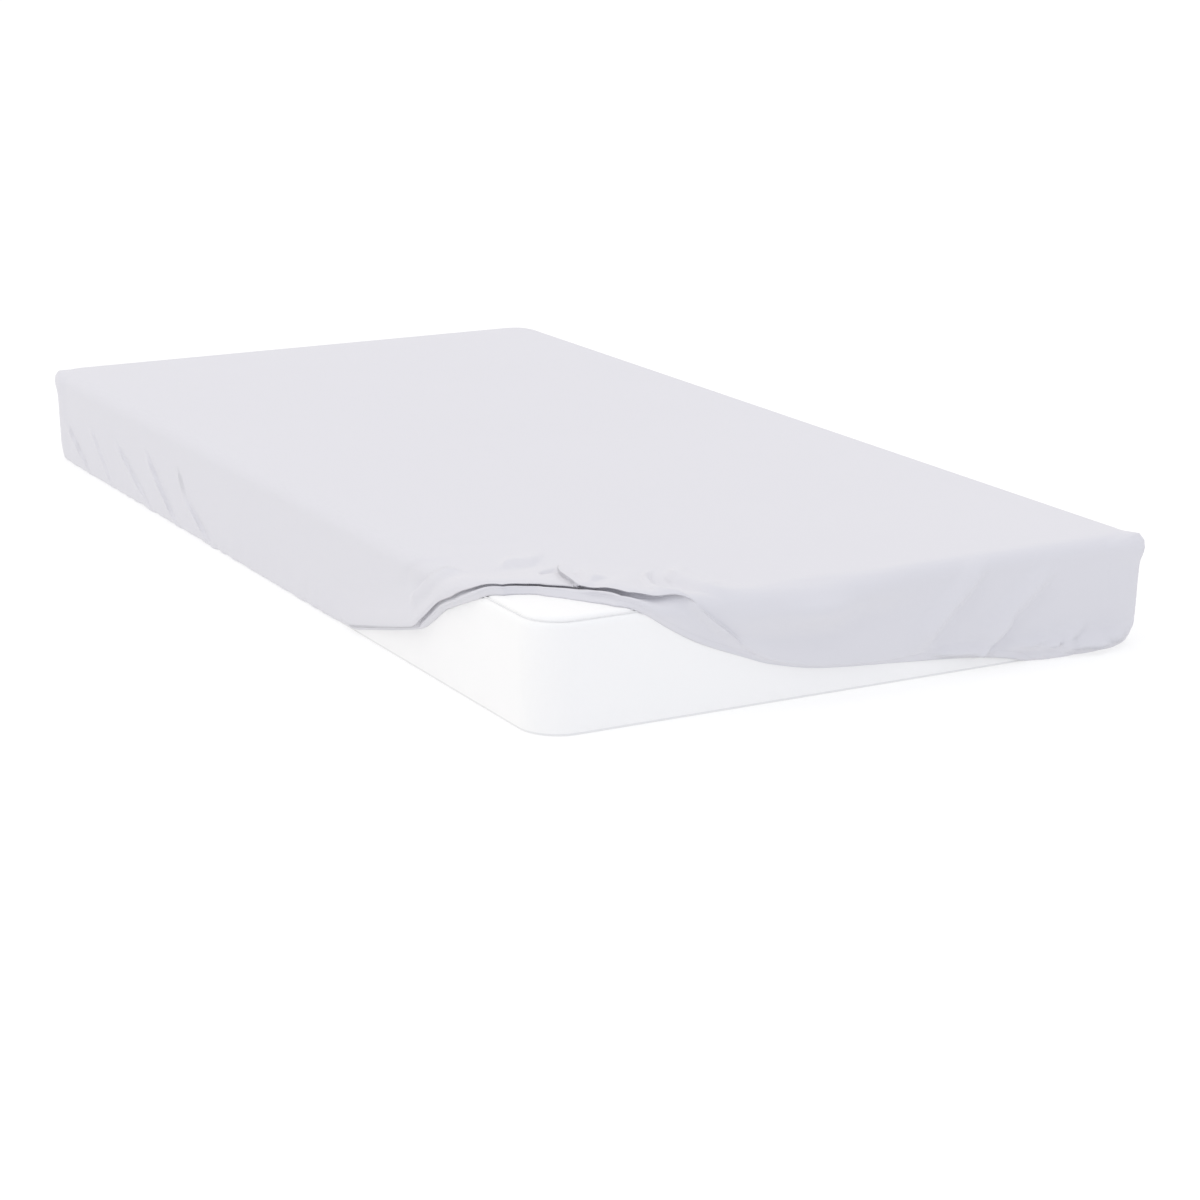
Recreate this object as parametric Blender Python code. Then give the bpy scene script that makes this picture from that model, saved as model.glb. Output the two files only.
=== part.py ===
"""A fitted sheet on a plain mattress, slipped off the mattress at one corner.

Metres, +Z up. The origin lies on the floor under the middle of the mattress,
+X runs across it and +Y along it, away from the end with the bare corner.

Both pieces are skins drawn around the same rounded rectangle:

* A station is a distance along the mattress's outline, counted from the middle
  of the bare corner: positive along the short end, negative along the long side.
* An inset is how far inside the mattress's sides a point lies, so that an inset
  and a height give a section of the piece at any station.
* A drop is a distance along the cloth's own section, counted from where the
  mattress's top starts to round over: negative on the top, positive down the side.
"""

import bisect
import math
from collections import namedtuple

import bmesh
import bpy
import numpy as np
from mathutils import Vector

# The mattress.
MATTRESS_WIDTH = 1.000
MATTRESS_LENGTH = 2.000
MATTRESS_HEIGHT = 0.168
CORNER_RADIUS = 0.060
TOP_EDGE_RADIUS = 0.018
BOTTOM_EDGE_RADIUS = 0.012
CROWN = 0.006
CROWN_REACH = 0.300
CENTRE_CORNER_RADIUS = 0.100

# The sheet.
CLOTH = 0.002
SEAT_GAP = 0.0003
EDGE_GAP = 0.002
HEM_BEND_RADIUS = 0.013
TUCK = 0.070
ROLL_MARGIN = 0.030
HEM_MARGIN = 0.040
EAR_LENGTH = 0.055
CREASE_FULL = 0.60
CREASE_FADE = 0.50

# How finely both are drawn.
COVER_CORNER_STEP = 0.0118
COVER_SIDE_STEP = 0.470
CROWN_RINGS = (CROWN_REACH, 0.150, 0.070)
EDGE_STEPS = 4
SHARP_FOLD = math.radians(50)
WELD = 1e-5

# Worked out from them.
MATTRESS_BASE = CLOTH + SEAT_GAP
MATTRESS_TOP = MATTRESS_BASE + MATTRESS_HEIGHT
SHEET_OFFSET = CLOTH + EDGE_GAP
SHEET_EDGE_RADIUS = TOP_EDGE_RADIUS + SHEET_OFFSET
CORNER_ARC = math.pi / 2 * CORNER_RADIUS
STRAIGHTS = (MATTRESS_WIDTH - 2 * CORNER_RADIUS, MATTRESS_LENGTH - 2 * CORNER_RADIUS)
PERIMETER = 2 * sum(STRAIGHTS) + 4 * CORNER_ARC
CORNER_SIGNS = ((-1, -1), (1, -1), (1, 1), (-1, 1))

EDGE_ARC = math.pi / 2 * SHEET_EDGE_RADIUS
SHOULDER = MATTRESS_TOP - CROWN * (1 - TOP_EDGE_RADIUS / CROWN_REACH) ** 2
SIDE_TOP = SHOULDER - TOP_EDGE_RADIUS
SIDE_END = EDGE_ARC + SIDE_TOP - HEM_BEND_RADIUS
BEND_END = SIDE_END + math.pi / 2 * HEM_BEND_RADIUS
FULL_DROP = BEND_END + TUCK
CENTRE_DROP = TOP_EDGE_RADIUS - CROWN_REACH

# Stations: stretches of the outline, each with the step of its samples. The
# four corner arcs have steps of their own.
Stretch = namedtuple("Stretch", "start end step")
NEAR_ARC = CORNER_ARC / 2
SHORT_ARC = NEAR_ARC + STRAIGHTS[0]
LONG_ARC = NEAR_ARC + STRAIGHTS[1]
FAR_ARC = LONG_ARC + CORNER_ARC
STRETCHES = (
    Stretch(-PERIMETER / 2, -FAR_ARC - STRAIGHTS[0], 0.0157),
    Stretch(-FAR_ARC - STRAIGHTS[0], -FAR_ARC, 0.176),
    Stretch(-FAR_ARC, -LONG_ARC, 0.0157),
    Stretch(-LONG_ARC, -1.180, 0.036),
    Stretch(-1.180, -0.740, 0.063),
    Stretch(-0.740, -0.600, 0.014),
    Stretch(-0.600, -0.440, 0.023),
    Stretch(-0.440, 0.440, 0.016),
    Stretch(0.440, SHORT_ARC, 0.021),
    Stretch(SHORT_ARC, SHORT_ARC + CORNER_ARC, 0.0157),
    Stretch(SHORT_ARC + CORNER_ARC, PERIMETER / 2 - NEAR_ARC, 0.188),
    Stretch(PERIMETER / 2 - NEAR_ARC, PERIMETER / 2, 0.0157),
)

# Where the hem lies: under the mattress, climbing its long side, over the top
# behind the bare corner, and down its short end.
HemRow = namedtuple("HemRow", "station drop")
HEM = (
    HemRow(-0.900, FULL_DROP),
    HemRow(-0.780, BEND_END + 0.035),
    HemRow(-0.700, BEND_END + 0.008),
    HemRow(-0.640, SIDE_END + 0.009),
    HemRow(-0.575, 0.166),
    HemRow(-0.500, 0.150),
    HemRow(-0.430, 0.134),
    HemRow(-0.370, 0.120),
    HemRow(-0.309, 0.094),
    HemRow(-0.269, 0.069),
    HemRow(-0.226, 0.051),
    HemRow(-0.176, 0.032),
    HemRow(-0.130, 0.010),
    HemRow(-0.097, -0.021),
    HemRow(-0.054, -0.041),
    HemRow(-0.008, -0.049),
    HemRow(0.028, -0.042),
    HemRow(0.062, -0.026),
    HemRow(0.103, 0.002),
    HemRow(0.141, 0.024),
    HemRow(0.203, 0.063),
    HemRow(0.267, 0.093),
    HemRow(0.348, 0.122),
    HemRow(0.430, 0.138),
    HemRow(0.565, 0.150),
    HemRow(0.669, 0.158),
    HemRow(0.757, SIDE_END + 0.006),
    HemRow(0.860, BEND_END + 0.035),
    HemRow(0.940, FULL_DROP),
)

# How the cloth rolls over behind the hem. band is the hem's width below the
# lip of the roll, overhang how far the lip hangs over it, crest the height of
# the roll, and swell how far back it reaches. blend is 1 where the section
# follows the roll and 0 where it follows the mattress.
RollRow = namedtuple("RollRow", "station band overhang crest swell blend")
ROLLS = (
    RollRow(-0.620, 0.012, 0.002, 0.008, 0.070, 0.0),
    RollRow(-0.500, 0.012, 0.003, 0.010, 0.070, 1.0),
    RollRow(-0.440, 0.012, 0.004, 0.012, 0.065, 1.0),
    RollRow(-0.370, 0.012, 0.008, 0.013, 0.060, 1.0),
    RollRow(-0.260, 0.012, 0.012, 0.014, 0.058, 1.0),
    RollRow(-0.150, 0.014, 0.014, 0.016, 0.080, 1.0),
    RollRow(-0.050, 0.014, 0.014, 0.018, 0.105, 1.0),
    RollRow(0.050, 0.014, 0.014, 0.019, 0.110, 1.0),
    RollRow(0.110, 0.018, 0.015, 0.019, 0.105, 1.0),
    RollRow(0.160, 0.028, 0.016, 0.018, 0.085, 1.0),
    RollRow(0.205, 0.048, 0.014, 0.016, 0.070, 1.0),
    RollRow(0.245, 0.050, 0.004, 0.013, 0.080, 1.0),
    RollRow(0.300, 0.028, 0.000, 0.011, 0.110, 1.0),
    RollRow(0.420, 0.020, 0.000, 0.011, 0.125, 1.0),
    RollRow(0.520, 0.018, 0.000, 0.009, 0.120, 1.0),
    RollRow(0.640, 0.016, 0.000, 0.006, 0.110, 0.0),
)

# How high the cloth stands behind the lip, by how far back it lies as a share
# of the swell.
RiseRow = namedtuple("RiseRow", "back rise")
RISE = (
    RiseRow(0.00, 0.72),
    RiseRow(0.12, 1.00),
    RiseRow(0.28, 0.85),
    RiseRow(0.55, 0.35),
    RiseRow(1.00, 0.00),
)

# The lower part of the section. place runs from the top edge (-1) to the lip of
# the roll (0) and on to the hem (1), under is the share of the overhang by which
# a point is drawn back, rise its share of the crest, and tight the drop that it
# has where the sheet is pulled tight.
SIDE = SIDE_END - EDGE_ARC
BEND = BEND_END - SIDE_END
RollPoint = namedtuple("RollPoint", "place under rise tight")
ROLL_SECTION = (
    RollPoint(-0.78, 0.00, None, EDGE_ARC + 0.22 * SIDE),
    RollPoint(-0.55, 0.00, None, EDGE_ARC + 0.42 * SIDE),
    RollPoint(-0.32, 0.00, None, EDGE_ARC + 0.61 * SIDE),
    RollPoint(-0.13, 0.00, None, EDGE_ARC + 0.80 * SIDE),
    RollPoint(0.00, 0.00, 0.72, SIDE_END),
    RollPoint(0.20, 0.45, 0.42, SIDE_END + BEND / 3),
    RollPoint(0.40, 1.00, 0.22, SIDE_END + BEND * 2 / 3),
    RollPoint(0.60, 0.80, 0.06, BEND_END),
    RollPoint(0.80, 0.20, 0.00, BEND_END + 0.45 * TUCK),
    RollPoint(1.00, 0.00, 0.00, FULL_DROP),
)
TIGHT_DROPS = (CENTRE_DROP, -0.150, -0.070, -0.025, 0.0, EDGE_ARC / 3, EDGE_ARC * 2 / 3, EDGE_ARC)

# Creases that lean down the sides: each runs from one station and drop to
# another, with half its width and its height. Each keeps its full height over
# CREASE_FULL of its length and fades out over CREASE_FADE more at either end.
Crease = namedtuple("Crease", "station drop to_station to_drop width height")
CREASES = (
    Crease(-1.920, 0.100, -1.815, 0.168, 0.040, 0.0045),
    Crease(-1.770, 0.095, -1.690, 0.166, 0.036, 0.0040),
    Crease(-1.640, 0.085, -1.530, 0.166, 0.040, 0.0050),
    Crease(-1.478, 0.080, -1.350, 0.166, 0.040, 0.0050),
    Crease(-1.322, 0.075, -1.250, 0.160, 0.036, 0.0040),
    Crease(-0.770, 0.178, -0.610, 0.172, 0.045, 0.0050),
    Crease(0.222, 0.034, 0.300, 0.096, 0.024, 0.0050),
    Crease(0.694, 0.046, 0.590, 0.132, 0.026, 0.0050),
    Crease(0.775, 0.062, 0.685, 0.140, 0.026, 0.0055),
    Crease(0.900, 0.110, 0.800, 0.160, 0.024, 0.0045),
)

# The sheet's sewn corners stand out past the mattress's round ones: how far at
# each drop, and with what share of that at each of the covered corners.
EarPoint = namedtuple("EarPoint", "drop reach")
EAR_SECTION = (
    EarPoint(-0.020, 0.000),
    EarPoint(EDGE_ARC / 3, 0.002),
    EarPoint(EDGE_ARC * 2 / 3, 0.014),
    EarPoint(EDGE_ARC, 0.021),
    EarPoint(EDGE_ARC + 0.025, 0.018),
    EarPoint(SIDE_END - 0.045, 0.018),
    EarPoint(SIDE_END, 0.012),
    EarPoint(BEND_END, 0.000),
)
Ear = namedtuple("Ear", "station share")
EARS = (
    Ear(-PERIMETER / 2, 0.40),
    Ear(-LONG_ARC - NEAR_ARC, 0.90),
    Ear(SHORT_ARC + NEAR_ARC, 1.00),
    Ear(PERIMETER / 2, 0.40),
)


def crown_share(inset):
    """How much of the crown's fall is left at an inset: 0 in the flat middle."""
    return max(0.0, 1 - inset / CROWN_REACH) ** 2


def mattress_top(inset):
    """Height of the mattress's crowned top at an inset."""
    return MATTRESS_TOP - CROWN * crown_share(inset)


def cloth_top(inset):
    """Height of the sheet's upper face where it lies on the mattress's top."""
    edge_share = crown_share(inset) / crown_share(TOP_EDGE_RADIUS)
    gap = SEAT_GAP + (EDGE_GAP - SEAT_GAP) * edge_share
    return mattress_top(inset) + gap + CLOTH


def ring_radius(inset):
    """Corner radius of the outline that lies at an inset."""
    tightest = CORNER_RADIUS - SHEET_EDGE_RADIUS
    if inset < SHEET_EDGE_RADIUS:
        return CORNER_RADIUS - inset
    share = (inset - SHEET_EDGE_RADIUS) / (CROWN_REACH - SHEET_EDGE_RADIUS)
    return tightest + (CENTRE_CORNER_RADIUS - tightest) * share


def outline_point(station, inset):
    """Plan position of a station on the outline that lies at an inset."""
    radius = ring_radius(inset)
    half = Vector((MATTRESS_WIDTH / 2 - inset - radius, MATTRESS_LENGTH / 2 - inset - radius))
    centres = [Vector((x * half.x, y * half.y)) for x, y in CORNER_SIGNS]
    walked = (station + CORNER_ARC / 2) % PERIMETER
    for corner, centre in enumerate(centres):
        heading = math.pi + corner * math.pi / 2
        if walked < CORNER_ARC:
            angle = heading + walked / CORNER_RADIUS
            return centre + radius * Vector((math.cos(angle), math.sin(angle)))
        walked -= CORNER_ARC
        straight = STRAIGHTS[corner % 2]
        if walked < straight:
            outward = Vector((-math.sin(heading), math.cos(heading)))
            following = centres[(corner + 1) % 4]
            return centre.lerp(following, walked / straight) + radius * outward
        walked -= straight
    return centres[0] + Vector((-radius, 0))


def between(rows, name, place):
    """A table's column where its first column reaches a place, on a curve with no overshoot."""
    places = [row[0] for row in rows]
    values = [getattr(row, name) for row in rows]
    if place <= places[0]:
        return values[0]
    if place >= places[-1]:
        return values[-1]
    slopes = [
        (values[i + 1] - values[i]) / (places[i + 1] - places[i]) for i in range(len(rows) - 1)
    ]

    def tangent(i):
        if i in (0, len(rows) - 1) or slopes[i - 1] * slopes[i] <= 0:
            return 0.0
        return 2 * slopes[i - 1] * slopes[i] / (slopes[i - 1] + slopes[i])

    at = bisect.bisect_right(places, place) - 1
    width = places[at + 1] - places[at]
    share = (place - places[at]) / width
    ease = share * share * (3 - 2 * share)
    bend_in = share * (1 - share) ** 2 * tangent(at)
    bend_out = share * share * (share - 1) * tangent(at + 1)
    return values[at] + (values[at + 1] - values[at]) * ease + width * (bend_in + bend_out)


def bump(distance, reach):
    """A rounded rise that is 1 at no distance and 0 from its reach on."""
    return math.cos(math.pi / 2 * min(1.0, abs(distance) / reach)) ** 2


def draped(drop, lift):
    """Inset and height of the cloth's outer face at a drop, lifted off the mattress."""
    if drop < 0:
        inset = TOP_EDGE_RADIUS - drop
        return inset, cloth_top(inset) + lift
    if drop < EDGE_ARC:
        turn = drop / SHEET_EDGE_RADIUS
        reach = SHEET_EDGE_RADIUS + lift
        return TOP_EDGE_RADIUS - reach * math.sin(turn), SIDE_TOP + reach * math.cos(turn)
    if drop < SIDE_END:
        return -SHEET_OFFSET - lift, SIDE_TOP - (drop - EDGE_ARC)
    if drop < BEND_END:
        turn = (drop - SIDE_END) / HEM_BEND_RADIUS
        reach = HEM_BEND_RADIUS + lift
        inset = HEM_BEND_RADIUS - SHEET_OFFSET - reach * math.cos(turn)
        return inset, max(0.0, HEM_BEND_RADIUS - reach * math.sin(turn))
    return HEM_BEND_RADIUS - SHEET_OFFSET + drop - BEND_END, 0.0


def crease_lift(station, drop):
    """How far the side creases raise the cloth at a station and drop."""
    lift = 0.0
    for crease in CREASES:
        start = Vector((crease.station, crease.drop))
        run = Vector((crease.to_station, crease.to_drop)) - start
        point = Vector((station, drop)) - start
        along = point.dot(run) / run.length_squared
        ends = bump(max(0.0, abs(along - 0.5) - CREASE_FULL / 2), CREASE_FADE)
        across = (point - run * along).length
        lift += crease.height * ends * bump(across, crease.width)
    return lift


def ear_lift(station, drop):
    """How far the sewn corners stand out at a station and drop."""
    nearest = min(EARS, key=lambda ear: abs(station - ear.station))
    share = max(0.0, 1 - abs(station - nearest.station) / EAR_LENGTH) ** 2
    return nearest.share * share * between(EAR_SECTION, "reach", drop)


def swell_rise(drop, lip, swell):
    """The share of the crest that the cloth reaches at a drop behind the lip."""
    return between(RISE, "rise", (lip - drop) / swell)


def sheet_section(station):
    """Insets and heights of the sheet's outer face at a station, from the middle to the hem."""
    hem = between(HEM, "drop", station)
    band, overhang, crest, swell, blend = (
        between(ROLLS, name, station) for name in ("band", "overhang", "crest", "swell", "blend")
    )
    lip = hem - band
    edge = min(EDGE_ARC, lip - ROLL_MARGIN)
    squeeze = (edge - CENTRE_DROP) / (EDGE_ARC - CENTRE_DROP)
    points = []
    for tight in TIGHT_DROPS:
        drop = CENTRE_DROP + (tight - CENTRE_DROP) * squeeze
        points.append((drop, crest * blend * swell_rise(drop, lip, swell)))
    knots = (EDGE_ARC, SIDE_END, BEND_END, FULL_DROP)
    drops = (EDGE_ARC, min(SIDE_END, hem - HEM_MARGIN), min(BEND_END, hem - HEM_MARGIN / 2), hem)
    for point in ROLL_SECTION:
        tight = float(np.interp(point.tight, knots, drops))
        if point.place < 0:
            rolled = lip + point.place * (lip - edge)
        else:
            rolled = lip + point.place * band - point.under * overhang
        drop = tight + (rolled - tight) * blend
        rise = swell_rise(drop, lip, swell) if point.rise is None else point.rise
        points.append((drop, crest * blend * rise))
    return [
        draped(drop, lift + crease_lift(station, drop) + ear_lift(station, drop))
        for drop, lift in points
    ]


def mattress_section():
    """Insets and heights of the mattress, from the middle of its top to the middle of its base."""
    crown = [(inset, mattress_top(inset)) for inset in CROWN_RINGS]
    quarter = [math.pi / 2 * step / EDGE_STEPS for step in range(EDGE_STEPS + 1)]
    top_edge = [
        (TOP_EDGE_RADIUS * (1 - math.sin(turn)), SHOULDER - TOP_EDGE_RADIUS * (1 - math.cos(turn)))
        for turn in quarter
    ]
    bottom_edge = [
        (
            BOTTOM_EDGE_RADIUS * (1 - math.cos(turn)),
            MATTRESS_BASE + BOTTOM_EDGE_RADIUS * (1 - math.sin(turn)),
        )
        for turn in quarter
    ]
    return crown + top_edge + bottom_edge


def stations_of(stretches):
    """Stations once around the outline, at the steps of its stretches."""
    stations = []
    for stretch in stretches:
        count = max(1, round((stretch.end - stretch.start) / stretch.step))
        width = (stretch.end - stretch.start) / count
        stations += [stretch.start + width * index for index in range(count)]
    return stations


def skin(stations, sections):
    """A bmesh drawn through one section at each station, with its top filled in."""
    columns, rows = len(stations), len(sections[0]) - 1
    bm = bmesh.new()
    bmesh.ops.create_grid(bm, x_segments=columns, y_segments=rows, size=0.5)
    for vert in bm.verts:
        column = round((vert.co.x + 0.5) * columns) % columns
        row = round((0.5 - vert.co.y) * rows)
        inset, height = sections[column][row]
        vert.co = (*outline_point(stations[column], inset), height)
    bmesh.ops.remove_doubles(bm, verts=bm.verts, dist=WELD)
    fill_loop(bm, max)
    return bm


def fill_loop(bm, choose):
    """Close the highest or the lowest open edge loop with one flat face."""
    rims = [edge for edge in bm.edges if edge.is_boundary]
    level = choose(edge.verts[0].co.z for edge in rims)
    loop = [edge for edge in rims if all(abs(v.co.z - level) < WELD for v in edge.verts)]
    bmesh.ops.contextual_create(bm, geom=loop)


def material(name, colour, roughness):
    """A cloth finish with its colour and roughness."""
    finish = bpy.data.materials.new(name)
    finish.use_nodes = True
    shader = finish.node_tree.nodes["Principled BSDF"]
    shader.inputs["Base Color"].default_value = (*colour, 1)
    shader.inputs["Roughness"].default_value = roughness
    shader.inputs["Metallic"].default_value = 0
    return finish


def add_object(name, bm, finish):
    """An object of the finished bmesh, shaded smooth with its tight folds kept sharp."""
    mesh = bpy.data.meshes.new(name)
    bm.to_mesh(mesh)
    bm.free()
    mesh.shade_smooth()
    mesh.set_sharp_from_angle(angle=SHARP_FOLD)
    mesh.materials.append(finish)
    made = bpy.data.objects.new(name, mesh)
    bpy.context.scene.collection.objects.link(made)
    return made


def build_mattress():
    """The plain mattress: crowned top, rounded edges and corners, flat base."""
    corner, side = COVER_CORNER_STEP, COVER_SIDE_STEP
    stations = stations_of(
        (
            Stretch(-PERIMETER / 2, -FAR_ARC - STRAIGHTS[0], corner),
            Stretch(-FAR_ARC - STRAIGHTS[0], -FAR_ARC, side),
            Stretch(-FAR_ARC, -LONG_ARC, corner),
            Stretch(-LONG_ARC, -NEAR_ARC, side),
            Stretch(-NEAR_ARC, NEAR_ARC, corner),
            Stretch(NEAR_ARC, SHORT_ARC, side),
            Stretch(SHORT_ARC, SHORT_ARC + CORNER_ARC, corner),
            Stretch(SHORT_ARC + CORNER_ARC, PERIMETER / 2 - NEAR_ARC, side),
            Stretch(PERIMETER / 2 - NEAR_ARC, PERIMETER / 2, corner),
        )
    )
    bm = skin(stations, [mattress_section()] * len(stations))
    fill_loop(bm, min)
    bmesh.ops.recalc_face_normals(bm, faces=bm.faces)
    return add_object("mattress", bm, material("mattress_cover", (0.90, 0.90, 0.89), 0.85))


def build_sheet():
    """The fitted sheet, with its thickness turned in towards the mattress."""
    stations = stations_of(STRETCHES)
    bm = skin(stations, [sheet_section(station) for station in stations])
    if bm.faces[:][-1].normal.z < 0:
        bmesh.ops.reverse_faces(bm, faces=bm.faces)
    sheet = add_object("fitted_sheet", bm, material("sheet_cotton", (0.70, 0.69, 0.73), 0.9))
    thickness = sheet.modifiers.new("Cloth thickness", "SOLIDIFY")
    thickness.thickness = CLOTH
    thickness.offset = -1
    thickness.use_rim = True
    return sheet


for leftover in list(bpy.data.objects):
    bpy.data.objects.remove(leftover)
build_mattress()
build_sheet()
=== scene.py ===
"""The looks of a fitted sheet that has slipped off one corner of its mattress.

Metres, +Z up. The origin lies on the floor under the middle of the mattress, +X runs
across it and +Y along it, away from the end with the bare corner.

The cloth and the mattress are skins around one rounded rectangle, and three words
place a point on them:

* A station is a distance along the mattress's outline, counted from the middle of the
  bare corner: positive along the short end, negative along the long side.
* An inset is how far inside the mattress's sides a point lies.
* A drop is a distance along the cloth's section, counted from where the mattress's top
  starts to round over: negative on the top, positive down the side.
"""

from __future__ import annotations

import logging
import math
from dataclasses import dataclass
from enum import Enum
from typing import Any, NamedTuple, Sequence

import bmesh
import bpy
import numpy as np
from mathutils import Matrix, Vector

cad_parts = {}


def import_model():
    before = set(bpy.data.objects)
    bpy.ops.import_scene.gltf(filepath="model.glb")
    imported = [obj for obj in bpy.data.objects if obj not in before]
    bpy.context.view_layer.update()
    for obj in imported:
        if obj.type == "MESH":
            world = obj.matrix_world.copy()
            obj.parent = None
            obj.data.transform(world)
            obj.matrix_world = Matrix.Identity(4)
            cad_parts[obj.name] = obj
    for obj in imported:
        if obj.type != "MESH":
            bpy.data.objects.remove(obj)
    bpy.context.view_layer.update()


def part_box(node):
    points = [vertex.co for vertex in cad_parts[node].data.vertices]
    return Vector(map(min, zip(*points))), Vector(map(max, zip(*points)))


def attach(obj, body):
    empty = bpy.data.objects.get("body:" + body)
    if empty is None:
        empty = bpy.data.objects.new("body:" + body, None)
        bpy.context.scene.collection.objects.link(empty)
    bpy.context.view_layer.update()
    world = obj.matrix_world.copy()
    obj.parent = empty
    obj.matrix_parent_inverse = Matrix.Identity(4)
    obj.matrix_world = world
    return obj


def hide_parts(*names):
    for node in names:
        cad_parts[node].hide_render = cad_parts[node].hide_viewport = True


LOG = logging.getLogger("fitted_sheet")
QUARTER = math.pi / 2
WELD = 1e-5
CLOTH_SPECULAR = 0.25
Array = np.ndarray
Colour = tuple[float, float, float]


class Slot(Enum):
    """The material slots' names."""

    COTTON = "sheet_cotton"
    COVER = "mattress_cover"


class Piece(Enum):
    """The object's two sub-parts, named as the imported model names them."""

    SHEET = "fitted_sheet"
    MATTRESS = "mattress"


# --- Curves and tables ---


def bump(distance: Array, reach: float) -> Array:
    """A rounded rise that is 1 at no distance and 0 from its reach on."""
    return np.cos(QUARTER * np.minimum(1.0, np.abs(distance) / reach)) ** 2


def ease(share: Array) -> Array:
    """A soft step from 0 to 1."""
    share = np.clip(share, 0.0, 1.0)
    return share * share * (3 - 2 * share)


class Curve:
    """A smooth curve through one column of a table, which never overshoots its rows."""

    def __init__(self, rows: Sequence[NamedTuple], column: str) -> None:
        """Fit the curve.

        Args:
            rows: The table, in the order of its first column.
            column: The name of the column that the curve follows.
        """
        self.places = np.array([row[0] for row in rows], float)
        self.values = np.array([getattr(row, column) for row in rows], float)
        self.widths = np.diff(self.places)
        slopes = np.diff(self.values) / self.widths
        before, after = slopes[:-1], slopes[1:]
        level = before * after <= 0
        middle = 2 * before * after / np.where(level, 1.0, before + after)
        self.tangents = np.concatenate(([0.0], np.where(level, 0.0, middle), [0.0]))

    def __call__(self, place: Array) -> Array:
        """Follow the curve.

        Args:
            place: Places along the table's first column, of any shape.

        Returns:
            The column's value at each place.
        """
        place = np.clip(place, self.places[0], self.places[-1])
        at = np.searchsorted(self.places, place, side="right") - 1
        at = np.clip(at, 0, len(self.widths) - 1)
        share = (place - self.places[at]) / self.widths[at]
        bend_in = share * (1 - share) ** 2 * self.tangents[at]
        bend_out = share**2 * (share - 1) * self.tangents[at + 1]
        climb = (self.values[at + 1] - self.values[at]) * ease(share)
        return self.values[at] + climb + self.widths[at] * (bend_in + bend_out)


class Stretch(NamedTuple):
    """A stretch of the outline, from where the last one ends, and its columns' spacing."""

    end: float
    step: float


def columns_of(start: float, stretches: Sequence[Stretch]) -> Array:
    """Stations once around the outline, at the steps of its stretches.

    Args:
        start: The station at which the first stretch starts.
        stretches: The stretches, in their order.

    Returns:
        The stations, without the last stretch's end.
    """
    parts = []
    for end, step in stretches:
        count = max(1, round((end - start) / step))
        parts.append(np.linspace(start, end, count, endpoint=False))
        start = end
    return np.concatenate(parts)


@dataclass(frozen=True)
class Outline:
    """The mattress's plan: a rounded rectangle that is walked by stations.

    The rings inside it keep its corners round, and close to a line in the middle.
    """

    width: float
    length: float
    corner_radius: float = 0.060
    parallel_inset: float = 0.022
    wide_inset: float = 0.300
    wide_radius: float = 0.100

    @property
    def corner_arc(self) -> float:
        """Length of one corner."""
        return QUARTER * self.corner_radius

    @property
    def short_side(self) -> float:
        """Length of the straight stretch of a short end."""
        return self.width - 2 * self.corner_radius

    @property
    def long_side(self) -> float:
        """Length of the straight stretch of a long side."""
        return self.length - 2 * self.corner_radius

    @property
    def perimeter(self) -> float:
        """Length of the whole outline."""
        return 2 * (self.short_side + self.long_side) + 4 * self.corner_arc

    @property
    def corners(self) -> tuple[float, float, float, float]:
        """Where the corners lie.

        Returns:
            Stations of the four corners' middles, the bare one first.
        """
        near_right = self.corner_arc + self.short_side
        far_left = -self.corner_arc - self.long_side
        return 0.0, near_right, self.perimeter / 2, far_left

    def ring_radius(self, inset: Array) -> Array:
        """How round a ring's corners are.

        Args:
            inset: The ring's inset.

        Returns:
            The radius of its corners.
        """
        outside = -self.corner_radius
        insets = (outside, self.parallel_inset, self.wide_inset, self.width / 2)
        radii = (
            self.corner_radius - outside,
            self.corner_radius - self.parallel_inset,
            self.wide_radius,
            0.0,
        )
        return np.interp(inset, insets, radii)

    def place(self, station: Array, inset: Array) -> Array:
        """Plan positions of stations on the rings that lie at insets.

        Args:
            station: Stations, of any shape.
            inset: Insets, of a shape that fits the stations'.

        Returns:
            X and Y, along one more axis.
        """
        station, inset = np.broadcast_arrays(station, inset)
        legs = np.array([self.corner_arc, self.short_side, self.corner_arc, self.long_side] * 2)
        ends = np.cumsum(legs)
        walked = (station + self.corner_arc / 2) % self.perimeter
        leg = np.minimum(np.searchsorted(ends, walked, side="right"), len(legs) - 1)
        share = (walked - (ends - legs)[leg]) / legs[leg]
        corner, turning = leg // 2, leg % 2 == 0
        angle = math.pi + QUARTER * (corner + np.where(turning, share, 1.0))
        signs = np.array([(-1, -1), (1, -1), (1, 1), (-1, 1)], float)
        along = np.where(turning, 0.0, share)[..., None]
        spot = signs[corner] * (1 - along) + signs[(corner + 1) % 4] * along
        radius = self.ring_radius(inset)
        half = np.stack([side / 2 - inset - radius for side in (self.width, self.length)], axis=-1)
        facing = np.stack((np.cos(angle), np.sin(angle)), axis=-1)
        return half * spot + radius[..., None] * facing

    def points(self, station: Array, inset: Array, height: Array) -> Array:
        """Positions of stations on the rings that lie at insets and heights."""
        plan = self.place(station, inset)
        return np.dstack((plan, np.broadcast_to(height, plan.shape[:2])))


# --- Meshes ---


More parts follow.
